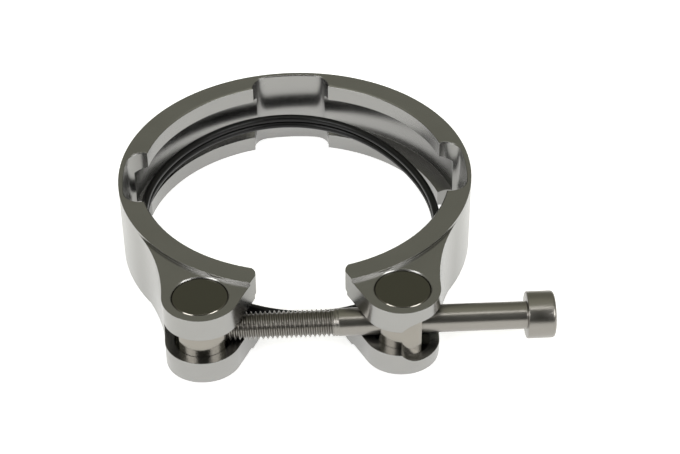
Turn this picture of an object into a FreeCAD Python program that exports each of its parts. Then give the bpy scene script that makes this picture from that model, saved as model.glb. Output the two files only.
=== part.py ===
import FreeCAD, Part
import math
import os
import Sketcher

# V band clamp: a one-piece turned and milled aluminium band with a V groove inside, sprung
# open at the front. A forked lug at each end of the band holds a turning trunnion, and a
# socket head screw runs through the plain trunnion into the threaded one. Two rubber seal
# rings lie loose in the groove.
#
# Frame: millimetres, Z along the axis of the pipe joint, origin on that axis at the band's
# bottom face, lugs towards -Y, the screw along X with its head at +X.

doc = FreeCAD.newDocument("v_band_clamp")

# ---------------------------------------------------------------- driving dimensions
DIMENSIONS = [
    # band
    ("lip_radius", 35.15),          # inside of the two lips
    ("groove_depth", 3.05),         # V groove, from the lips to its floor
    ("flex_depth", 4.05),           # thinned places, from the lips to their wall
    ("band_thickness", 5.1),        # from the lips to the outside
    ("band_height", 18.7),
    ("lip_height", 4.05),           # lip thickness at its inner edge
    ("groove_rise", 1.13),          # each slope of the V groove climbs this much
    ("lip_break", 0.3),             # bevel on the outer edge of each lip
    ("gap_width", 18.2),            # parallel-sided opening at the front
    ("end_rounding", 1.6),          # inner corners of the band's two ends
    ("flex_angle", 30.0),           # each thinned place, seen from the axis
    ("flex_corner", 4.0),
    ("flex_break", 0.25),           # bevel round the thinned places
    # lugs
    ("pin_inset", 12.3),            # trunnion axis, from the band's end
    ("pin_stand", 0.44),            # trunnion hole's edge, from the band's outside
    ("ear_wall", 2.05),             # metal round each trunnion
    ("ear_overhang", 0.85),         # extra width of each ear towards the gap
    ("ear_step", 0.7),              # ears stop this much short of the band's faces
    ("flank_angle", 60.0),          # slanted side of each ear that faces the gap
    ("blend_radius", 45.0),         # hollow run from the band's outside into the lug
    ("slot_clearance", 0.3),        # fork slot, over and under the screw
    ("slot_depth", 3.35),           # fork slot's back wall, behind the trunnion's axis
    ("recess_clearance", 0.35),     # round end of the pocket that takes the screw's head
    ("recess_room", 0.55),          # its back wall, behind the head
    ("recess_offset", 3.7),         # middle of its round end, from the trunnion's axis
    ("pin_hole_break", 0.25),
    # trunnions
    ("pin_diameter", 12.0),
    ("pin_clearance", 0.05),        # radial, trunnion in the lug
    ("pin_break", 0.25),
    ("pin_drop", 0.25),             # the loose trunnions and the screw have sunk this far
    ("nut_flat", 4.8),              # flats of the threaded trunnion, from its axis
    ("seat_flat", 3.8),             # flat under the screw's head, from its axis
    ("back_flat", 5.2),             # flat on the plain trunnion's other side
    ("flat_margin", 0.6),           # ordinary flats reach this far past the fork slot
    ("hole_break", 0.3),            # countersinks of the cross holes
    ("thread_clearance", 0.05),     # radial, stands for the thread's own play
    ("shank_clearance", 0.5),       # radial, plain trunnion's hole
    # screw
    ("screw_diameter", 6.0),
    ("screw_length", 70.0),         # under the head
    ("tip_break", 0.8),
    ("head_diameter", 10.2),
    ("head_height", 6.0),
    ("head_rounding", 0.6),
    ("socket_width", 5.0),          # across flats
    ("socket_depth", 3.0),
    ("head_standoff", 22.8),        # how far the head is from its seat
    # seal rings
    ("seal_section", 1.78),
    ("seal_inset", 0.42),           # mean centre line, inside the lips
    ("seal_lift", 1.82),            # lower ring's centre line above the lower lip's edge
    ("seal_spacing", 1.8),          # lower ring to upper ring
]

# How a loose seal ring strays from a circle: for one, two, three and four bulges round the
# ring, how far each bulge stands out and in which direction from +X the first one lies.
SEAL_BULGES = [
    ("seal_off_centre", 2.06, -175.6),
    ("seal_oval", 1.54, -79.0),
    ("seal_triangle", 0.62, -36.4),
    ("seal_square", 0.57, -7.2),
]
for bulge, height, direction in SEAL_BULGES:
    DIMENSIONS.append((bulge, height))
    DIMENSIONS.append((f"{bulge}_angle", direction))

sheet = doc.addObject("Spreadsheet::Sheet", "Sheet")
for row, (alias, value) in enumerate(DIMENSIONS, start=1):
    sheet.set(f"A{row}", alias)
    sheet.set(f"B{row}", str(value))
    sheet.setAlias(f"B{row}", alias)
doc.recompute()
size = {alias: sheet.get(alias) for alias, _ in DIMENSIONS}

# How a sketch numbers its own X axis and the points of a line or an arc.
X_AXIS = -1
START, END, CENTRE = range(1, 4)
ORIGIN = (X_AXIS, START)
ROUND = "Part::GeomCircle"
STRAIGHT = "Part::GeomLine"

# Sizes that follow from the driving ones, as formulas for the sheet's names.
LIP = "Sheet.lip_radius"
BAND_RADIUS = "(Sheet.lip_radius + Sheet.band_thickness)"
FLEX_RADIUS = "(Sheet.lip_radius + Sheet.flex_depth)"
MIDDLE = "(Sheet.band_height / 2)"
PIN_X = "(Sheet.gap_width / 2 + Sheet.pin_inset)"
PIN_HOLE = "(Sheet.pin_diameter / 2 + Sheet.pin_clearance)"
PIN_FAR = f"({BAND_RADIUS} + {PIN_HOLE} + Sheet.pin_stand)"
PIN_Y = f"sqrt({PIN_FAR}^2 - {PIN_X}^2)"
EAR_RADIUS = f"({PIN_HOLE} + Sheet.ear_wall)"
SCREW_HALF = "(Sheet.screw_diameter / 2)"
SLOT_HALF = f"({SCREW_HALF} + Sheet.slot_clearance)"
RECESS_RADIUS = "(Sheet.head_diameter / 2 + Sheet.recess_clearance)"
SCREW_Z = f"({MIDDLE} - Sheet.pin_drop)"
PIN_HALF = f"({MIDDLE} - Sheet.ear_step)"
HEAD_X = f"({PIN_X} + Sheet.seat_flat + Sheet.head_standoff)"
FRONT = f"({PIN_Y} + 2 * {EAR_RADIUS})"         # past everything in front of the band
SIDE = f"({PIN_X} + 3 * {EAR_RADIUS})"          # past the lugs on either side

# The same sizes as numbers, for finding edges and for a sketch's first guess.
band_radius = size["lip_radius"] + size["band_thickness"]
pin_hole = size["pin_diameter"] / 2 + size["pin_clearance"]
ear_radius = pin_hole + size["ear_wall"]
pin_far = band_radius + pin_hole + size["pin_stand"]
pin_across = size["gap_width"] / 2 + size["pin_inset"]
pin = (-pin_across, -math.sqrt(pin_far ** 2 - pin_across ** 2))
screw_z = size["band_height"] / 2 - size["pin_drop"]


# ---------------------------------------------------------------- shared helpers
def new_body(name, x="0", y="0", z="0"):
    """A named body whose place follows three formulas in the sheet's names."""
    body = doc.addObject("PartDesign::Body", name)
    body.Label = name
    for axis, formula in zip("xyz", (x, y, z)):
        body.setExpression(f"Placement.Base.{axis}", formula)
    return body


def plane(body, role):
    return next(item for item in body.Origin.OriginFeatures if item.Role == role)


def new_sketch(body, role, name, offset=None):
    """A sketch on one of the body's origin planes, moved off it by a formula."""
    sketch = body.newObject("Sketcher::SketchObject", name)
    sketch.AttachmentSupport = [(plane(body, role), "")]
    sketch.MapMode = "FlatFace"
    if offset:
        sketch.setExpression("AttachmentOffset.Base.z", offset)
    return sketch


def drive(sketch, name, formula, *constraint):
    """Adds a dimension to a sketch and ties it to the sheet."""
    index = sketch.addConstraint(Sketcher.Constraint(*constraint))
    sketch.renameConstraint(index, name)
    sketch.setExpression(f"Constraints.{name}", formula)


def fix(sketch, *constraint):
    sketch.addConstraint(Sketcher.Constraint(*constraint))


def polygon(sketch, corners):
    """A closed outline of straight lines; each corner is a pair of formulas."""
    count = len(corners)
    turn = 2 * math.pi / count
    spots = [FreeCAD.Vector(10 * math.cos(turn * i), 10 * math.sin(turn * i), 0)
             for i in range(count)]
    for i in range(count):
        sketch.addGeometry(Part.LineSegment(spots[i], spots[(i + 1) % count]))
    for i in range(count):
        fix(sketch, "Coincident", i, END, (i + 1) % count, START)
    for i, (across, up) in enumerate(corners):
        drive(sketch, f"across{i}", across, "DistanceX", *ORIGIN, i, START, spots[i].x)
        drive(sketch, f"up{i}", up, "DistanceY", *ORIGIN, i, START, spots[i].y)


def circle(sketch, name, radius, across="0", up="0"):
    """A circle whose radius and centre are formulas."""
    index = sketch.addGeometry(Part.Circle(FreeCAD.Vector(1, 1, 0), FreeCAD.Vector(0, 0, 1), 2))
    drive(sketch, f"{name}_radius", radius, "Radius", index, 2)
    drive(sketch, f"{name}_across", across, "DistanceX", *ORIGIN, index, CENTRE, 1)
    drive(sketch, f"{name}_up", up, "DistanceY", *ORIGIN, index, CENTRE, 1)


def arc(sketch, x, y, radius, first, last):
    """An arc from one direction to another, in degrees, turning left; returns its index."""
    round_edge = Part.Circle(FreeCAD.Vector(x, y, 0), FreeCAD.Vector(0, 0, 1), radius)
    return sketch.addGeometry(
        Part.ArcOfCircle(round_edge, math.radians(first), math.radians(last)))


def line(sketch, start, end):
    return sketch.addGeometry(
        Part.LineSegment(FreeCAD.Vector(*start, 0), FreeCAD.Vector(*end, 0)))


def feature(body, kind, name, sketch, **values):
    """A PartDesign feature made from a sketch; formulas are given as text."""
    item = body.newObject(f"PartDesign::{kind}", name)
    item.Profile = sketch
    sketch.Visibility = False
    for key, value in values.items():
        if isinstance(value, str) and hasattr(getattr(item, key), "Value"):
            item.setExpression(key, value)
        else:
            setattr(item, key, value)
    doc.recompute()
    return item


def cut_through(body, name, sketch):
    """A pocket that runs right through the body on both sides of its sketch."""
    before = body.Shape.Volume
    item = feature(body, "Pocket", name, sketch, Type="ThroughAll", SideType="Symmetric")
    if body.Shape.Volume >= before:
        raise RuntimeError(f"{name} removed nothing")
    return item


def edges_where(shape, curve, test):
    """Names of the edges of one kind of curve whose ends all pass a test."""
    names = []
    for number, edge in enumerate(shape.Edges, start=1):
        if edge.Curve.TypeId != curve:
            continue
        if all(test(vertex.Point) for vertex in edge.Vertexes):
            names.append(f"Edge{number}")
    return names


def dress(body, kind, name, edges, key, formula):
    """A fillet or chamfer on the named edges of the body's latest feature."""
    base = body.Tip
    item = body.newObject(f"PartDesign::{kind}", name)
    item.Base = (base, edges)
    item.setExpression(key, formula)
    doc.recompute()
    return item


# ---------------------------------------------------------------- clamp band
# One billet ring with two forked lugs: disc and lugs first, then the bore with its
# V groove, the thin flexing places, the gap, the fork slots and the trunnion holes.
band = new_body("clamp_band")

blank_sketch = new_sketch(band, "XY_Plane", "blank_sketch")
circle(blank_sketch, "blank", BAND_RADIUS)
feature(band, "Pad", "blank", blank_sketch, Length="Sheet.band_height")


def lug_outline(sketch):
    """One ear seen from above, on the -X side.

    Round the trunnion the ear is an arc; towards the gap a second arc of the same radius
    leads into a slanted flank; on the outside a large hollow arc runs out tangentially
    into the band's own circle.
    """
    blend = size["blend_radius"]
    reach, span = band_radius + blend, ear_radius + blend
    lean = math.acos((reach ** 2 + pin_far ** 2 - span ** 2) / (2 * reach * pin_far))
    way = math.atan2(pin[1], pin[0]) - lean
    hollow = (reach * math.cos(way), reach * math.sin(way))
    to_ear = math.degrees(math.atan2(pin[1] - hollow[1], pin[0] - hollow[0]))
    to_ring = math.degrees(way) + 180
    flank = size["flank_angle"]
    second = (pin[0] + size["ear_overhang"], pin[1])
    turn = math.radians(flank - 90)
    bend = (second[0] + ear_radius * math.cos(turn), second[1] + ear_radius * math.sin(turn))
    inside = (-band_radius / 2, -band_radius / 2)
    tip_x = -size["gap_width"] / 4
    tip = (tip_x, bend[1] + (tip_x - bend[0]) * math.tan(math.radians(flank)))

    guide = arc(sketch, 0, 0, band_radius, math.degrees(way) - 10, math.degrees(way))
    sketch.toggleConstruction(guide)
    hollow_arc = arc(sketch, *hollow, blend, to_ear, to_ring)
    ear_arc = arc(sketch, *pin, ear_radius, to_ear + 180, 270)
    front = line(sketch, (pin[0], pin[1] - ear_radius), (second[0], pin[1] - ear_radius))
    gap_arc = arc(sketch, *second, ear_radius, 270, 270 + flank)
    flank_line = line(sketch, bend, tip)
    inner_line = line(sketch, tip, inside)
    ring_point = (band_radius * math.cos(way), band_radius * math.sin(way))
    closing = line(sketch, inside, ring_point)

    fix(sketch, "Coincident", guide, CENTRE, *ORIGIN)
    drive(sketch, "ring", BAND_RADIUS, "Radius", guide, band_radius)
    drive(sketch, "guide_start", f"-{BAND_RADIUS} * cos(20deg)",
          "DistanceX", *ORIGIN, guide, START, band_radius * math.cos(math.radians(200)))
    fix(sketch, "Tangent", guide, END, hollow_arc, END)
    drive(sketch, "blend", "Sheet.blend_radius", "Radius", hollow_arc, blend)
    fix(sketch, "Tangent", hollow_arc, START, ear_arc, START)
    drive(sketch, "ear", EAR_RADIUS, "Radius", ear_arc, ear_radius)
    drive(sketch, "pin_across", f"-{PIN_X}", "DistanceX", *ORIGIN, ear_arc, CENTRE, pin[0])
    drive(sketch, "pin_up", f"-{PIN_Y}", "DistanceY", *ORIGIN, ear_arc, CENTRE, pin[1])
    fix(sketch, "Tangent", ear_arc, END, front, START)
    fix(sketch, "Horizontal", front)
    drive(sketch, "overhang", "Sheet.ear_overhang", "DistanceX", front, START, front, END,
          size["ear_overhang"])
    fix(sketch, "Tangent", front, END, gap_arc, START)
    fix(sketch, "Equal", ear_arc, gap_arc)
    fix(sketch, "Tangent", gap_arc, END, flank_line, START)
    drive(sketch, "flank", "Sheet.flank_angle * 1deg", "Angle", flank_line,
          math.radians(flank))
    drive(sketch, "tip_across", "-Sheet.gap_width / 4",
          "DistanceX", *ORIGIN, flank_line, END, tip[0])
    fix(sketch, "Coincident", flank_line, END, inner_line, START)
    fix(sketch, "Coincident", inner_line, END, closing, START)
    drive(sketch, "inside_across", f"-{BAND_RADIUS} / 2",
          "DistanceX", *ORIGIN, closing, START, inside[0])
    drive(sketch, "inside_up", f"-{BAND_RADIUS} / 2",
          "DistanceY", *ORIGIN, closing, START, inside[1])
    fix(sketch, "Coincident", closing, END, hollow_arc, END)


lug_sketch = new_sketch(band, "XY_Plane", "lug_sketch", "Sheet.ear_step")
lug_outline(lug_sketch)
lug = feature(band, "Pad", "lug", lug_sketch,
              Length="Sheet.band_height - 2 * Sheet.ear_step")
lug_pair = band.newObject("PartDesign::Mirrored", "lug_pair")
lug_pair.Originals = [lug]
lug_pair.MirrorPlane = (plane(band, "YZ_Plane"), [""])
band.Tip = lug_pair
doc.recompute()

bore_sketch = new_sketch(band, "XZ_Plane", "bore_sketch")
BREAK = "Sheet.lip_break"
GROOVE_FLOOR = f"({LIP} + Sheet.groove_depth)"
FLOOR_RISE = "(Sheet.lip_height + Sheet.groove_rise)"
polygon(bore_sketch, [
    ("0", f"-{BREAK}"),
    (f"{LIP} + 2 * {BREAK}", f"-{BREAK}"),
    (LIP, BREAK),
    (LIP, "Sheet.lip_height"),
    (GROOVE_FLOOR, FLOOR_RISE),
    (GROOVE_FLOOR, f"Sheet.band_height - {FLOOR_RISE}"),
    (LIP, "Sheet.band_height - Sheet.lip_height"),
    (LIP, f"Sheet.band_height - {BREAK}"),
    (f"{LIP} + 2 * {BREAK}", f"Sheet.band_height + {BREAK}"),
    ("0", f"Sheet.band_height + {BREAK}"),
])
feature(band, "Groove", "bore_and_v_groove", bore_sketch,
        ReferenceAxis=(bore_sketch, ["V_Axis"]), Angle=360.0)

flex_sketch = new_sketch(band, "XY_Plane", "flex_sketch")


def flex_outline(sketch):
    """A sector from the band's axis whose two outer corners are rounded."""
    wall, corner = size["lip_radius"] + size["flex_depth"], size["flex_corner"]
    half = size["flex_angle"] / 2
    inset = math.degrees(math.asin(corner / (wall - corner)))
    middle = math.radians(half - inset)
    run = math.sqrt((wall - corner) ** 2 - corner ** 2)
    upper = (run * math.cos(math.radians(half)), run * math.sin(math.radians(half)))
    centre = ((wall - corner) * math.cos(middle), (wall - corner) * math.sin(middle))
    low_line = line(sketch, (0, 0), (upper[0], -upper[1]))
    low_arc = arc(sketch, centre[0], -centre[1], corner, -half - 90, -half + inset)
    wall_arc = arc(sketch, 0, 0, wall, -half + inset, half - inset)
    high_arc = arc(sketch, *centre, corner, half - inset, half + 90)
    high_line = line(sketch, upper, (0, 0))
    fix(sketch, "Coincident", low_line, START, *ORIGIN)
    fix(sketch, "Coincident", high_line, END, *ORIGIN)
    fix(sketch, "Coincident", wall_arc, CENTRE, *ORIGIN)
    fix(sketch, "Tangent", low_line, END, low_arc, START)
    fix(sketch, "Tangent", low_arc, END, wall_arc, START)
    fix(sketch, "Tangent", wall_arc, END, high_arc, START)
    fix(sketch, "Tangent", high_arc, END, high_line, START)
    drive(sketch, "wall", FLEX_RADIUS, "Radius", wall_arc, wall)
    drive(sketch, "low_corner", "Sheet.flex_corner", "Radius", low_arc, corner)
    fix(sketch, "Equal", low_arc, high_arc)
    drive(sketch, "half_angle", "Sheet.flex_angle / 2 * 1deg", "Angle",
          X_AXIS, START, high_line, END, math.radians(half))
    drive(sketch, "full_angle", "Sheet.flex_angle * 1deg", "Angle",
          low_line, START, high_line, END, math.radians(2 * half))


flex_outline(flex_sketch)
flex = cut_through(band, "flex_place", flex_sketch)
flex_places = band.newObject("PartDesign::PolarPattern", "flex_places")
flex_places.Originals = [flex]
flex_places.Axis = (flex_sketch, ["N_Axis"])
flex_places.Angle = 180
flex_places.Occurrences = 3
band.Tip = flex_places
doc.recompute()

gap_sketch = new_sketch(band, "XY_Plane", "gap_sketch")
HALF_GAP = "Sheet.gap_width / 2"
polygon(gap_sketch, [
    (f"-{HALF_GAP}", "0"),
    (f"-{HALF_GAP}", f"-{FRONT}"),
    (HALF_GAP, f"-{FRONT}"),
    (HALF_GAP, "0"),
])
cut_through(band, "gap", gap_sketch)

slot_sketch = new_sketch(band, "YZ_Plane", "slot_sketch")
SLOT_BACK = f"{PIN_Y} - Sheet.slot_depth"
polygon(slot_sketch, [
    (f"-{FRONT}", f"{MIDDLE} - {SLOT_HALF}"),
    (f"-({SLOT_BACK})", f"{MIDDLE} - {SLOT_HALF}"),
    (f"-({SLOT_BACK})", f"{MIDDLE} + {SLOT_HALF}"),
    (f"-{FRONT}", f"{MIDDLE} + {SLOT_HALF}"),
])
cut_through(band, "fork_slots", slot_sketch)


def recess_outline(sketch):
    """A slot with one round end, open towards +X."""
    radius = size["head_diameter"] / 2 + size["recess_clearance"]
    x = -pin[0] + size["recess_offset"]
    z = size["band_height"] / 2
    side = -pin[0] + 3 * ear_radius
    round_end = arc(sketch, x, z, radius, 90, 270)
    low_line = line(sketch, (x, z - radius), (side, z - radius))
    side_line = line(sketch, (side, z - radius), (side, z + radius))
    high_line = line(sketch, (side, z + radius), (x, z + radius))
    fix(sketch, "Tangent", round_end, END, low_line, START)
    fix(sketch, "Coincident", low_line, END, side_line, START)
    fix(sketch, "Coincident", side_line, END, high_line, START)
    fix(sketch, "Tangent", high_line, END, round_end, START)
    fix(sketch, "Horizontal", low_line)
    fix(sketch, "Vertical", side_line)
    drive(sketch, "radius", RECESS_RADIUS, "Radius", round_end, radius)
    drive(sketch, "across", f"{PIN_X} + Sheet.recess_offset",
          "DistanceX", *ORIGIN, round_end, CENTRE, x)
    drive(sketch, "up", MIDDLE, "DistanceY", *ORIGIN, round_end, CENTRE, z)
    drive(sketch, "side", SIDE, "DistanceX", *ORIGIN, side_line, START, side)


RECESS_BACK = f"{PIN_Y} - Sheet.head_diameter / 2 - Sheet.recess_room"
recess_sketch = new_sketch(band, "XZ_Plane", "recess_sketch", RECESS_BACK)
recess_outline(recess_sketch)
before = band.Shape.Volume
feature(band, "Pocket", "head_recess", recess_sketch, Type="Length",
        Length=f"{FRONT} - ({RECESS_BACK})", Reversed=True)
if band.Shape.Volume >= before:
    raise RuntimeError("head_recess removed nothing")

hole_sketch = new_sketch(band, "XY_Plane", "pin_hole_sketch")
for side_name, sign in (("left", "-"), ("right", "")):
    circle(hole_sketch, side_name, PIN_HOLE, f"{sign}{PIN_X}", f"-{PIN_Y}")
cut_through(band, "pin_holes", hole_sketch)


def near(value, *targets):
    return min(abs(value - target) for target in targets) < 1e-3


def on_hole_rim(point):
    """On a trunnion hole's edge in an ear's outer face."""
    away = math.hypot(abs(point.x) + pin[0], point.y - pin[1])
    return near(away, pin_hole) and near(
        point.z, size["ear_step"], size["band_height"] - size["ear_step"])


def on_end_corner(point):
    """On the corner between a lip's bore and the band's end."""
    across = size["gap_width"] / 2
    return near(abs(point.x), across) and near(
        point.y, -math.sqrt(size["lip_radius"] ** 2 - across ** 2))


def on_flex_rim(point):
    """On the edge round a thinned place, in the band's faces, outside the lips' bevels."""
    away = math.hypot(point.x, point.y)
    inside = size["lip_radius"] + size["lip_break"] - 1e-3
    outside = size["lip_radius"] + size["flex_depth"] + 1e-3
    return inside < away < outside and point.y > pin[1] / 2 and near(
        point.z, 0, size["band_height"])


flex_rims = (edges_where(band.Shape, ROUND, on_flex_rim)
             + edges_where(band.Shape, STRAIGHT, on_flex_rim))
dress(band, "Chamfer", "flex_edges", flex_rims, "Size", "Sheet.flex_break")
dress(band, "Chamfer", "pin_hole_edges", edges_where(band.Shape, ROUND, on_hole_rim),
      "Size", "Sheet.pin_hole_break")
dress(band, "Fillet", "end_corners", edges_where(band.Shape, STRAIGHT, on_end_corner),
      "Radius", "Sheet.end_rounding")


# ---------------------------------------------------------------- trunnions
# Each trunnion is a round bar that fills both ears. Between them it has flats across the
# screw and a cross hole. Its own origin is where its axis meets the screw's axis.
def make_trunnion(name, side, flats, hole_clearance):
    """flats: for each side of the screw axis, distance and half height as formulas."""
    body = new_body(name, side, f"-{PIN_Y}", SCREW_Z)
    bar_sketch = new_sketch(body, "XZ_Plane", f"{name}_bar_sketch")
    polygon(bar_sketch, [
        ("0", f"-{PIN_HALF}"),
        ("Sheet.pin_diameter / 2 - Sheet.pin_break", f"-{PIN_HALF}"),
        ("Sheet.pin_diameter / 2", f"-{PIN_HALF} + Sheet.pin_break"),
        ("Sheet.pin_diameter / 2", f"{PIN_HALF} - Sheet.pin_break"),
        ("Sheet.pin_diameter / 2 - Sheet.pin_break", PIN_HALF),
        ("0", PIN_HALF),
    ])
    feature(body, "Revolution", f"{name}_bar", bar_sketch,
            ReferenceAxis=(bar_sketch, ["V_Axis"]), Angle=360.0)
    for direction, (away, half) in zip(("-", ""), flats):
        label = f"{name}_flat{len(direction)}"
        flat_sketch = new_sketch(body, "XZ_Plane", f"{label}_sketch")
        polygon(flat_sketch, [
            (f"{direction}{away}", f"-{half}"),
            (f"{direction}Sheet.pin_diameter", f"-{half}"),
            (f"{direction}Sheet.pin_diameter", half),
            (f"{direction}{away}", half),
        ])
        cut_through(body, label, flat_sketch)
    bore = new_sketch(body, "YZ_Plane", f"{name}_hole_sketch")
    circle(bore, "hole", f"{SCREW_HALF} + Sheet.{hole_clearance}")
    cut_through(body, f"{name}_hole", bore)
    radius = size["screw_diameter"] / 2 + size[hole_clearance]

    def on_mouth(point):
        """On an edge where the cross hole leaves a flat."""
        return near(math.hypot(point.y - pin[1], point.z - screw_z), radius)

    dress(body, "Chamfer", f"{name}_mouths", edges_where(body.Shape, ROUND, on_mouth),
          "Size", "Sheet.hole_break")


FLAT_HALF = f"({SLOT_HALF} + Sheet.flat_margin)"
make_trunnion("threaded_trunnion", f"-{PIN_X}",
              [("Sheet.nut_flat", FLAT_HALF), ("Sheet.nut_flat", FLAT_HALF)],
              "thread_clearance")
make_trunnion("plain_trunnion", PIN_X,
              [("Sheet.back_flat", FLAT_HALF), ("Sheet.seat_flat", RECESS_RADIUS)],
              "shank_clearance")

# ---------------------------------------------------------------- clamp screw
# A socket head screw. Its own origin is under the head, on its axis, with the head at +X.
screw = new_body("clamp_screw", HEAD_X, f"-{PIN_Y}", SCREW_Z)
screw_sketch = new_sketch(screw, "XZ_Plane", "screw_sketch")
polygon(screw_sketch, [
    ("-Sheet.screw_length", "0"),
    ("-Sheet.screw_length", f"{SCREW_HALF} - Sheet.tip_break"),
    ("-Sheet.screw_length + Sheet.tip_break", SCREW_HALF),
    ("0", SCREW_HALF),
    ("0", "Sheet.head_diameter / 2"),
    ("Sheet.head_height", "Sheet.head_diameter / 2"),
    ("Sheet.head_height", "0"),
])
feature(screw, "Revolution", "turned_form", screw_sketch,
        ReferenceAxis=(screw_sketch, ["H_Axis"]), Angle=360.0)

socket_sketch = new_sketch(screw, "YZ_Plane", "socket_sketch", "Sheet.head_height")
CORNER = "Sheet.socket_width / sqrt(3)"
polygon(socket_sketch, [(f"{CORNER} * cos({60 * i}deg)", f"{CORNER} * sin({60 * i}deg)")
                        for i in range(6)])
before = screw.Shape.Volume
feature(screw, "Pocket", "socket", socket_sketch, Type="Length", Length="Sheet.socket_depth")
if screw.Shape.Volume >= before:
    raise RuntimeError("socket removed nothing")
head_end = (-pin[0] + size["seat_flat"] + size["head_standoff"] + size["head_height"])


def on_head_rim(point):
    """On the outer edge of the head's free end."""
    away = math.hypot(point.y - pin[1], point.z - screw_z)
    return near(point.x, head_end) and near(away, size["head_diameter"] / 2)


dress(screw, "Fillet", "head_edge", edges_where(screw.Shape, ROUND, on_head_rim),
      "Radius", "Sheet.head_rounding")


# ---------------------------------------------------------------- seal rings
# Two rubber rings of round section, one on the other. They lie loose, so their centre line
# strays from a circle by a few low waves. The lower one rests near the groove's slope.
def seal_path(height):
    """The closed centre line: mean radius plus one to four bulges round the ring."""
    mean = size["lip_radius"] - size["seal_inset"]
    points = []
    for step in range(36):
        turn = math.radians(10 * step)
        radius = mean
        for waves, (bulge, _, _) in enumerate(SEAL_BULGES, start=1):
            first = math.radians(size[f"{bulge}_angle"])
            radius += size[bulge] * math.cos(waves * (turn - first))
        points.append(FreeCAD.Vector(radius * math.cos(turn), radius * math.sin(turn), height))
    curve = Part.BSplineCurve()
    curve.interpolate(Points=points, PeriodicFlag=True)
    return curve


def make_seal(name, height):
    """A round section carried along the path, as one closed tube."""
    curve = seal_path(height)
    start = curve.parameter(curve.value(curve.FirstParameter))
    section = Part.Circle(curve.value(start), curve.tangent(start)[0],
                          size["seal_section"] / 2)
    pipe = Part.Wire([curve.toShape()]).makePipeShell(
        [Part.Wire([section.toShape()])], True, True)
    seal = doc.addObject("Part::Feature", name)
    seal.Label = name
    seal.Shape = pipe


lower = size["lip_height"] + size["seal_lift"]
make_seal("seal_ring_lower", lower)
make_seal("seal_ring_upper", lower + size["seal_spacing"])

# ---------------------------------------------------------------- checks and files
doc.recompute()
for item in doc.Objects:
    if "Invalid" in item.State or "Error" in item.State:
        raise RuntimeError(f"{item.Name} did not build: {item.State}")

os.makedirs("parts", exist_ok=True)
for name in ("clamp_band", "threaded_trunnion", "plain_trunnion", "clamp_screw",
             "seal_ring_lower", "seal_ring_upper"):
    shape = doc.getObject(name).Shape
    if shape.isNull() or not shape.isValid() or len(shape.Solids) != 1:
        raise RuntimeError(f"{name} is not one valid solid")
    shape.exportStep(f"parts/{name}.step")
    print(f"{name}: {shape.Volume:.1f} mm3")
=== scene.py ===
# One-piece V band clamp on a pale table: the band with its two turning trunnions, the socket
# head screw that draws its ends together, and two rubber seal rings loose in the groove.
import math

import bmesh
import bpy
import numpy as np
from mathutils import Matrix, Vector


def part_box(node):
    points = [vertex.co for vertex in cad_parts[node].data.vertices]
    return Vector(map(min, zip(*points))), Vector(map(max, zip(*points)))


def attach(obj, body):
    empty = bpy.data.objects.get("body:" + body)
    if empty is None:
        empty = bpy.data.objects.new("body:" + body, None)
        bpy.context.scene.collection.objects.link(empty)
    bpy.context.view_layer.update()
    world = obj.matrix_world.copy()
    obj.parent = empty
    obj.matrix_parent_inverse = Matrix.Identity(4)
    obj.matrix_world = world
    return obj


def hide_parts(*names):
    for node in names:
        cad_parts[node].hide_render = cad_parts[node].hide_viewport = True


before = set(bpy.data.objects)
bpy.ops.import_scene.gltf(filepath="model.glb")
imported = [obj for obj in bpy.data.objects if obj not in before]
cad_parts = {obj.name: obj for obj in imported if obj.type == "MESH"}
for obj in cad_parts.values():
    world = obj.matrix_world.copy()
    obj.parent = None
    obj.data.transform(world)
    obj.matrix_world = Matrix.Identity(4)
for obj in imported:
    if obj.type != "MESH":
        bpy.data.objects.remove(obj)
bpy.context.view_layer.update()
scene = bpy.context.scene

# ---------------------------------------------------------------- band
# One piece of aluminium billet: turned inside and out with its V groove, then milled for the
# thin flexing places, the forked lugs and the gap. It has a fine satin finish with faint tool
# lines round its axis, and every edge has been broken.
MM = 0.001


def wire(tree, node_type, **inputs):
    """A new node. Each input is set to a value, or linked where it is given a socket; an
    input named i0, i1 and so on is found by its number."""
    node = tree.nodes.new(node_type)
    for name, value in inputs.items():
        by_number = name[0] == "i" and name[1:].isdigit()
        socket = node.inputs[int(name[1:])] if by_number else node.inputs[name]
        if isinstance(value, bpy.types.NodeSocket):
            tree.links.new(value, socket)
        else:
            socket.default_value = value
    return node


def reckon(tree, first, second, operation):
    """Two values put through one operation of arithmetic."""
    node = wire(tree, "ShaderNodeMath", i0=first, i1=second)
    node.operation = operation
    return node.outputs[0]


def tool_lines(tree, centre, axis, spacing):
    """Height of tool lines that run round an axis: one-dimensional noise read from the
    distance to the axis plus the place along it, both counted in line spacings."""
    place = wire(tree, "ShaderNodeTexCoord").outputs["Object"]
    moved = wire(tree, "ShaderNodeVectorMath", i0=place, i1=tuple(centre))
    moved.operation = "SUBTRACT"
    parts = wire(tree, "ShaderNodeSeparateXYZ", i0=moved.outputs[0]).outputs
    across = [parts[number] for number in range(3) if number != axis]
    flat = wire(tree, "ShaderNodeCombineXYZ", i0=across[0], i1=across[1])
    radius = wire(tree, "ShaderNodeVectorMath", i0=flat.outputs[0])
    radius.operation = "LENGTH"
    travel = reckon(tree, radius.outputs["Value"], parts[axis], "ADD")
    noise = tree.nodes.new("ShaderNodeTexNoise")
    noise.noise_dimensions = "1D"
    tree.links.new(reckon(tree, travel, 1 / spacing, "MULTIPLY"), noise.inputs["W"])
    noise.inputs["Scale"].default_value = 1.0
    noise.inputs["Detail"].default_value = 3.0
    return noise.outputs["Fac"]


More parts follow.
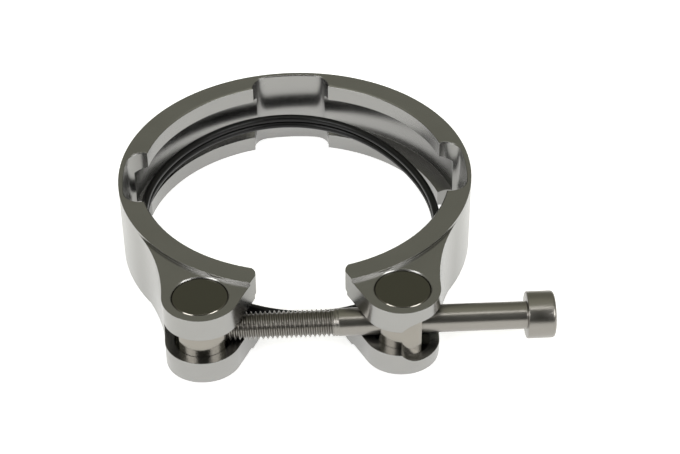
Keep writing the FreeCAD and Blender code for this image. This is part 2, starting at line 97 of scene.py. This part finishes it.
def machined_metal(name, colour, roughness, centre, axis, spacing, depth, edge):
    """Bare metal: cloudy colour, roughness between two values, tool lines of a given depth
    round an axis, and edges softened over a given radius."""
    material = bpy.data.materials.new(name)
    material.use_nodes = True
    tree = material.node_tree
    metal = tree.nodes["Principled BSDF"]
    metal.inputs["Metallic"].default_value = 1.0
    place = wire(tree, "ShaderNodeTexCoord").outputs["Object"]
    clouds = wire(tree, "ShaderNodeTexNoise", Vector=place, Scale=140.0, Detail=4.0)
    tint = wire(tree, "ShaderNodeMix", i0=clouds.outputs["Fac"])
    tint.data_type = "RGBA"
    tint.inputs[6].default_value = (*[part * 0.94 for part in colour], 1)
    tint.inputs[7].default_value = (*[part * 1.06 for part in colour], 1)
    tree.links.new(tint.outputs[2], metal.inputs["Base Color"])
    spread = wire(tree, "ShaderNodeMapRange", i0=clouds.outputs["Fac"])
    spread.inputs["To Min"].default_value = roughness[0]
    spread.inputs["To Max"].default_value = roughness[1]
    tree.links.new(spread.outputs["Result"], metal.inputs["Roughness"])
    soft_edge = wire(tree, "ShaderNodeBevel", Radius=edge)
    soft_edge.samples = 6
    relief = wire(tree, "ShaderNodeBump", Height=tool_lines(tree, centre, axis, spacing),
                  Normal=soft_edge.outputs[0])
    relief.inputs["Strength"].default_value = 1.0
    relief.inputs["Distance"].default_value = depth
    tree.links.new(relief.outputs["Normal"], metal.inputs["Normal"])
    return material


def prism(name, outline, low, high):
    """An upright prism: the outline at two heights, joined by one quad for each side."""
    count = len(outline)
    flat = np.repeat(np.asarray(outline)[None], 2, axis=0)
    heights = np.broadcast_to(np.array([low, high])[:, None, None], (2, count, 1))
    points = np.concatenate([flat, heights], axis=-1).reshape(-1, 3) * MM
    side = np.arange(count)
    beside = (side + 1) % count
    faces = [side[::-1].tolist(), (side + count).tolist()]
    faces += np.stack([side, beside, beside + count, side + count], axis=-1).tolist()
    mesh = bpy.data.meshes.new(name)
    mesh.from_pydata(points.tolist(), [], faces)
    cutter = bpy.data.objects.new(name, mesh)
    scene.collection.objects.link(cutter)
    return cutter


def arc(centre, radius, first, last, count):
    """Points of a circle between two angles in degrees."""
    turn = np.radians(np.linspace(first, last, count))
    return np.stack([centre[0] + radius * np.cos(turn), centre[1] + radius * np.sin(turn)],
                    axis=-1)


# The last cuts on the lugs, in millimetres: each end is set back and rounded into the lip,
# its flank slopes to the round ear, and the fork slot runs on into the groove. CLEAR and the
# cutters' two heights only have to lie outside the band.
END_X, END_ROUNDING, LIP_RADIUS = 9.55, 2.7, 35.15
EAR_RADIUS, EAR_MIDDLE, FLANK = 8.1, (-21.05, -41.553), 64.5
FLANK_TOP = -36.258
SLOT_BACK, SLOT_LOW, SLOT_HIGH = -36.0, 6.053, 12.647
CLEAR, BELOW, ABOVE = 52.0, -2.0, 21.0
rounding_x = -END_X - END_ROUNDING
rounding_y = -math.sqrt((LIP_RADIUS + END_ROUNDING) ** 2 - rounding_x ** 2)
lip_side = math.degrees(math.atan2(-rounding_y, -rounding_x))
left_cut = np.vstack([
    [(0.0, -32.0), (-11.0, -32.0)],
    arc((rounding_x, rounding_y), END_ROUNDING, lip_side, 0, 10),
    [(-END_X, FLANK_TOP)],
    arc(EAR_MIDDLE, EAR_RADIUS, FLANK - 90, -88, 24),
    [(EAR_MIDDLE[0] + EAR_RADIUS * math.cos(math.radians(-88)), -CLEAR), (0.0, -CLEAR)]])
right_cut = (left_cut * (-1, 1))[::-1]
slot_cut = [(-34.0, -CLEAR), (34.0, -CLEAR), (34.0, SLOT_BACK), (-34.0, SLOT_BACK)]
cutters = [prism("left_cut", left_cut, BELOW, ABOVE),
           prism("right_cut", right_cut, BELOW, ABOVE),
           prism("slot_cut", slot_cut, SLOT_LOW, SLOT_HIGH)]

# The cuts are made on a merged copy, whose stored normals go because its corners have changed.
blank = bmesh.new()
blank.from_mesh(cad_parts["clamp_band"].data)
bmesh.ops.remove_doubles(blank, verts=blank.verts, dist=0.001 * MM)
band_mesh = bpy.data.meshes.new("clamp_band_body")
blank.to_mesh(band_mesh)
blank.free()
band = bpy.data.objects.new("clamp_band_body", band_mesh)
scene.collection.objects.link(band)
for cutter in cutters:
    cut = band.modifiers.new(cutter.name, "BOOLEAN")
    cut.operation = "DIFFERENCE"
    cut.solver = "EXACT"
    cut.object = cutter
bpy.context.view_layer.update()
cut_mesh = bpy.data.meshes.new_from_object(
    band.evaluated_get(bpy.context.evaluated_depsgraph_get()))
band.modifiers.clear()
band.data = cut_mesh
for cutter in cutters:
    bpy.data.objects.remove(cutter)
stored_normals = cut_mesh.attributes.get("custom_normal")
if stored_normals:
    cut_mesh.attributes.remove(stored_normals)
cut_mesh.shade_smooth()
cut_mesh.set_sharp_from_angle(angle=math.radians(30))
even = band.modifiers.new("even_faces", "WEIGHTED_NORMAL")
even.keep_sharp = True
cut_mesh.materials.clear()
cut_mesh.materials.append(machined_metal(
    "turned_aluminium", colour=(0.29, 0.287, 0.279), roughness=(0.20, 0.30),
    centre=(0, 0, 0), axis=2, spacing=0.12 * MM, depth=0.0010 * MM, edge=0.16 * MM))
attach(band, "band")
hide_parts("clamp_band")

# ---------------------------------------------------------------- seal rings
# Two moulded nitrile rubber rings of round section. They lie loose in the groove, one on the
# other, bulged out of round and a little higher at the back.
SEAL_RADIUS = 34.371 * MM
SEAL_THICKNESS = 1.78 * MM
SEAL_TILT = math.radians(1.2)
SEAL_BULGES = ((1.712 * MM, -130.2), (1.732 * MM, -66.3), (0.583 * MM, -52.4),
               (0.285 * MM, 2.3))
LOWER_HEIGHT, UPPER_HEIGHT = 6.47 * MM, 8.27 * MM
PATH_POINTS, SECTION_POINTS = 360, 24


def tube_round(path, thickness, sides):
    """A closed tube of round section: at each point of the path a circle stands square to
    it, spanned by the level direction across the path and the one above that. path is an
    array of points; rows of the grid run along it and columns round the section."""
    forward = np.roll(path, -1, axis=0) - np.roll(path, 1, axis=0)
    forward /= np.linalg.norm(forward, axis=1, keepdims=True)
    outward = np.cross(forward, [0.0, 0.0, 1.0])
    outward /= np.linalg.norm(outward, axis=1, keepdims=True)
    upward = np.cross(outward, forward)
    turn = np.linspace(0, 2 * np.pi, sides, endpoint=False)[None, :, None]
    return path[:, None, :] + thickness / 2 * (
        np.cos(turn) * outward[:, None, :] + np.sin(turn) * upward[:, None, :])


def closed_faces(rows, columns):
    """Quads of a grid that closes on itself in both directions."""
    row, column = np.meshgrid(np.arange(rows), np.arange(columns), indexing="ij")
    next_row, next_column = (row + 1) % rows, (column + 1) % columns
    return np.stack([row * columns + column, next_row * columns + column,
                     next_row * columns + next_column, row * columns + next_column],
                    axis=-1).reshape(-1, 4)


def make_piece(name, points, faces, sharp_angle):
    """A smooth mesh object whose edges are sharp past an angle."""
    mesh = bpy.data.meshes.new(name)
    mesh.from_pydata(points.reshape(-1, 3).tolist(), [], faces)
    mesh.shade_smooth()
    mesh.set_sharp_from_angle(angle=math.radians(sharp_angle))
    piece = bpy.data.objects.new(name, mesh)
    scene.collection.objects.link(piece)
    return piece


seal_rubber = bpy.data.materials.new("seal_rubber")
seal_rubber.use_nodes = True
tree = seal_rubber.node_tree
gum = tree.nodes["Principled BSDF"]
gum.inputs["Base Color"].default_value = (0.005, 0.005, 0.005, 1)
gum.inputs["Specular IOR Level"].default_value = 0.22
place = wire(tree, "ShaderNodeTexCoord").outputs["Object"]
bloom = wire(tree, "ShaderNodeTexNoise", Vector=place, Scale=900.0, Detail=3.0)
spread = wire(tree, "ShaderNodeMapRange", i0=bloom.outputs["Fac"])
spread.inputs["To Min"].default_value = 0.22
spread.inputs["To Max"].default_value = 0.40
tree.links.new(spread.outputs["Result"], gum.inputs["Roughness"])
grain = wire(tree, "ShaderNodeBump", Height=bloom.outputs["Fac"])
grain.inputs["Distance"].default_value = 0.008 * MM
tree.links.new(grain.outputs["Normal"], gum.inputs["Normal"])

# Each ring's radius is its mean plus one, two, three and four waves to the turn.
way = np.linspace(0, 2 * np.pi, PATH_POINTS, endpoint=False)
reach = SEAL_RADIUS + sum(
    height * np.cos(waves * (way - math.radians(first)))
    for waves, (height, first) in enumerate(SEAL_BULGES, start=1))
for node, height in (("seal_ring_lower", LOWER_HEIGHT), ("seal_ring_upper", UPPER_HEIGHT)):
    across, along = reach * np.cos(way), reach * np.sin(way)
    line = np.stack([across, along, height + along * math.tan(SEAL_TILT)], axis=-1)
    seal = make_piece(f"{node}_tube", tube_round(line, SEAL_THICKNESS, SECTION_POINTS),
                      closed_faces(PATH_POINTS, SECTION_POINTS).tolist(), 180)
    seal.data.materials.append(seal_rubber)
    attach(seal, "band")
    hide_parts(node)

# ---------------------------------------------------------------- trunnions
# Two cross pins of nickel plated steel, turned and polished; their flat ends, which face up
# and down, get a darker colour as painted shade. They turn in the holes of the lugs, and the
# screw passes through both.
ROUND_STEEL = (0.26, 0.245, 0.22)
# Painted shade: the darker colour given to the pins' ends that face up and down.
SHADED_END_STEEL = (0.125, 0.122, 0.100)


def dress(node, material):
    """Give a CAD node its finish."""
    node.data.materials.clear()
    node.data.materials.append(material)


def shade_pin_ends(material, colour):
    """Painted shade: another, darker colour where a metal's surface faces straight up or down,
    as a pin's ends do.
    """
    tree = material.node_tree
    metal = tree.nodes["Principled BSDF"]
    first_colour = metal.inputs["Base Color"].links[0].from_socket
    facing = wire(tree, "ShaderNodeNewGeometry").outputs["Normal"]
    facing = wire(tree, "ShaderNodeSeparateXYZ", i0=facing).outputs["Z"]
    # Painted shade: the darker colour is mixed in where the surface faces up or down.
    end_shade = wire(tree, "ShaderNodeMapRange", i0=reckon(tree, facing, 0.0, "ABSOLUTE"))
    end_shade.inputs["From Min"].default_value = 0.85
    end_shade.inputs["From Max"].default_value = 0.97
    shade = wire(tree, "ShaderNodeMix", i0=end_shade.outputs["Result"])
    shade.data_type = "RGBA"
    tree.links.new(first_colour, shade.inputs[6])
    shade.inputs[7].default_value = (*colour, 1)
    tree.links.new(shade.outputs[2], metal.inputs["Base Color"])
    return material


for node in ("threaded_trunnion", "plain_trunnion"):
    low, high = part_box(node)
    steel = machined_metal(
        f"{node}_steel", colour=ROUND_STEEL, roughness=(0.10, 0.17), centre=(low + high) / 2,
        axis=2, spacing=0.2 * MM, depth=0.0006 * MM, edge=0.10 * MM)
    dress(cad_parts[node], shade_pin_ends(steel, SHADED_END_STEEL))

# ---------------------------------------------------------------- screw
# Socket head screw of nickel plated steel: an M6 thread rolled on a plain shank, and a turned
# head with a hexagon socket. It is threaded into one trunnion and drawn against the other.
low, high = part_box("clamp_screw")
AXIS_Y, AXIS_Z = (low.y + high.y) / 2, (low.z + high.z) / 2
TIP, HEAD_END = low.x, high.x
HEAD_RADIUS = (high.z - low.z) / 2
HEAD_HEIGHT, HEAD_ROUNDING = 6.0 * MM, 0.7 * MM
UNDER_HEAD = HEAD_END - HEAD_HEIGHT
SHANK_RADIUS, TIP_BREAK = 3.0 * MM, 0.8 * MM
PITCH, THREAD_DEPTH, THREAD_LENGTH = 1.0 * MM, 0.56 * MM, 29.3 * MM
THREAD_END = TIP + THREAD_LENGTH
ROOT_FLAT, CREST_FLAT = 0.20, 0.14
SOCKET_WIDTH, SOCKET_DEPTH, SOCKET_CONE = 5.0 * MM, 3.0 * MM, 0.7 * MM
ROUND, THREAD_ROWS = 96, 560

# The thread's radius is the shank's, less a groove with straight flanks. The place in the
# groove is the travel along the screw in pitches, less the share of a turn; the groove fades
# out at the thread's end, and the tip is chamfered.
turn = np.linspace(0, 2 * np.pi, ROUND, endpoint=False)[None, :]
thread_x = np.linspace(TIP, THREAD_END, THREAD_ROWS)[:, None]
phase = (thread_x / PITCH - turn / (2 * np.pi)) % 1.0
from_root = np.abs(phase - 0.5) * 2
cut = np.clip((1 - CREST_FLAT - from_root) / (1 - CREST_FLAT - ROOT_FLAT), 0, 1)
fade = np.clip((THREAD_END - thread_x) / (1.2 * PITCH), 0, 1)
thread = np.minimum(SHANK_RADIUS - THREAD_DEPTH * cut * fade,
                    SHANK_RADIUS - TIP_BREAK + (thread_x - TIP))

# The plain shank and the head are a profile turned round the axis. The socket's radius is
# that of a hexagon: half its width divided by the cosine of the angle from the nearest flat.
corner = np.linspace(0, np.pi / 2, 7)
plain_x = np.concatenate([
    [THREAD_END + 0.35 * MM, THREAD_END + 0.5 * MM, UNDER_HEAD - 0.25 * MM,
     UNDER_HEAD - 0.02 * MM, UNDER_HEAD, UNDER_HEAD, UNDER_HEAD + 0.08 * MM,
     UNDER_HEAD + 0.25 * MM],
    HEAD_END - HEAD_ROUNDING * (1 - np.sin(corner)), [HEAD_END]])[:, None]
plain = np.concatenate([
    [SHANK_RADIUS - 0.12 * MM, SHANK_RADIUS, SHANK_RADIUS, SHANK_RADIUS + 0.08 * MM,
     SHANK_RADIUS + 0.25 * MM, HEAD_RADIUS - 0.25 * MM, HEAD_RADIUS - 0.07 * MM, HEAD_RADIUS],
    HEAD_RADIUS - HEAD_ROUNDING * (1 - np.cos(corner)),
    [SOCKET_WIDTH / math.sqrt(3) + 0.45 * MM]])[:, None]
hexagon = SOCKET_WIDTH / 2 / np.cos((turn + np.pi / 6) % (np.pi / 3) - np.pi / 6)
socket_x = np.array([HEAD_END, HEAD_END - 0.12 * MM, HEAD_END - SOCKET_DEPTH])[:, None]
socket = hexagon + np.array([0.2 * MM, 0, 0])[:, None]
along = np.vstack([np.broadcast_to(part, (len(part), ROUND))
                   for part in (thread_x, plain_x, socket_x)])
radius = np.vstack([thread, np.broadcast_to(plain, (len(plain), ROUND)), socket])
grid = np.stack([along, AXIS_Y + radius * np.cos(turn), AXIS_Z + radius * np.sin(turn)],
                axis=-1)
poles = np.array([(TIP, AXIS_Y, AXIS_Z),
                  (HEAD_END - SOCKET_DEPTH - SOCKET_CONE, AXIS_Y, AXIS_Z)])
rows = len(along)
step = np.arange(ROUND)
beside = (step + 1) % ROUND
start = np.arange(rows - 1)[:, None] * ROUND
quads = np.stack([start + step, start + beside, start + ROUND + beside, start + ROUND + step],
                 axis=-1).reshape(-1, 4)
last = (rows - 1) * ROUND
tip_fan = np.stack([beside, step, np.full(ROUND, rows * ROUND)], axis=-1)
socket_fan = np.stack([last + step, last + beside, np.full(ROUND, rows * ROUND + 1)], axis=-1)
screw = make_piece("screw_body", np.vstack([grid.reshape(-1, 3), poles]),
                   quads.tolist() + tip_fan.tolist() + socket_fan.tolist(), 38)
screw.data.materials.append(machined_metal(
    "bright_nickel", colour=(0.25, 0.238, 0.22), roughness=(0.24, 0.34),
    centre=(0, AXIS_Y, AXIS_Z), axis=0, spacing=0.25 * MM, depth=0.0012 * MM,
    edge=0.06 * MM))
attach(screw, "screw")
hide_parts("clamp_screw")

# ---------------------------------------------------------------- table and light
# A white table that glows a little of itself, in a dim grey room that is darkest on the
# camera's side. A soft lamp stands at each side, and a narrow one hangs above.
TABLE_HALF = 3.0
table_mesh = bpy.data.meshes.new("table")
table_mesh.from_pydata([(-TABLE_HALF, -TABLE_HALF, 0), (TABLE_HALF, -TABLE_HALF, 0),
                        (TABLE_HALF, TABLE_HALF, 0), (-TABLE_HALF, TABLE_HALF, 0)],
                       [], [(0, 1, 2, 3)])
table = bpy.data.objects.new("table", table_mesh)
scene.collection.objects.link(table)
table_paint = bpy.data.materials.new("table_paint")
table_paint.use_nodes = True
paint = table_paint.node_tree.nodes["Principled BSDF"]
paint.inputs["Base Color"].default_value = (0.95, 0.95, 0.95, 1)
paint.inputs["Roughness"].default_value = 0.9
paint.inputs["Specular IOR Level"].default_value = 0.1
paint.inputs["Emission Color"].default_value = (1, 1, 1, 1)
paint.inputs["Emission Strength"].default_value = 0.65
table_mesh.materials.append(table_paint)

room = bpy.data.worlds.new("room")
scene.world = room
room.use_nodes = True
tree = room.node_tree
room_air = tree.nodes["Background"]
sky_direction = wire(tree, "ShaderNodeTexCoord").outputs["Generated"]
heading = wire(tree, "ShaderNodeSeparateXYZ", i0=sky_direction).outputs
ceiling = wire(tree, "ShaderNodeMapRange", i0=heading["Z"])
ceiling.inputs["From Min"].default_value = 0.72
ceiling.inputs["From Max"].default_value = 0.95
ceiling.inputs["To Min"].default_value = 1.0
ceiling.inputs["To Max"].default_value = 1.7
dark_side = wire(tree, "ShaderNodeMapRange", i0=heading["Y"])
dark_side.inputs["From Min"].default_value = -0.55
dark_side.inputs["From Max"].default_value = -0.2
dark_side.inputs["To Min"].default_value = 0.12
dark_side.inputs["To Max"].default_value = 1.0
strength = reckon(tree, ceiling.outputs["Result"], dark_side.outputs["Result"], "MULTIPLY")
room_air.inputs["Color"].default_value = (0.35, 0.35, 0.29, 1)
tree.links.new(strength, room_air.inputs["Strength"])
scene.view_settings.view_transform = "Standard"


def soft_lamp(name, place, width, height, watts):
    """A rectangular lamp that faces the middle of the table; sizes in metres."""
    light = bpy.data.lights.new(name, "AREA")
    light.shape = "RECTANGLE"
    light.size = width
    light.size_y = height
    light.energy = watts
    lamp = bpy.data.objects.new(name, light)
    aim = (-Vector(place)).to_track_quat("-Z", "Y")
    lamp.matrix_world = Matrix.Translation(place) @ aim.to_matrix().to_4x4()
    scene.collection.objects.link(lamp)


soft_lamp("lamp_left", (-0.72, -0.62, 0.62), 0.65, 0.5, 5.8)
soft_lamp("lamp_right", (0.72, -0.62, 0.62), 0.65, 0.5, 5.8)
soft_lamp("lamp_overhead", (0.0, -0.35, 1.0), 0.8, 0.12, 1.2)

# ---------------------------------------------------------------- camera
# It stands in front of the lugs and looks down through the band with a long lens.
DISTANCE, SIDEWAYS, RAISED = 420.42 * MM, 10.173 * MM, 1.812 * MM
azimuth, elevation, roll = (math.radians(angle) for angle in (-2.704, 38.672, -0.446))
backwards = Vector((math.sin(azimuth) * math.cos(elevation),
                    -math.cos(azimuth) * math.cos(elevation),
                    math.sin(elevation)))
level_right = (-backwards).cross(Vector((0, 0, 1))).normalized()
level_up = level_right.cross(-backwards)
right = math.cos(roll) * level_right + math.sin(roll) * level_up
up = math.cos(roll) * level_up - math.sin(roll) * level_right
camera = bpy.data.objects.new("camera", bpy.data.cameras.new("camera"))
camera.data.lens = 94.77
camera.data.sensor_width = 36.0
camera.data.clip_start = 0.01
camera.data.clip_end = 20.0
camera.matrix_world = (
    Matrix.Translation(DISTANCE * backwards + SIDEWAYS * right + RAISED * up)
    @ Matrix((right, up, backwards)).transposed().to_4x4())
scene.collection.objects.link(camera)
scene.camera = camera
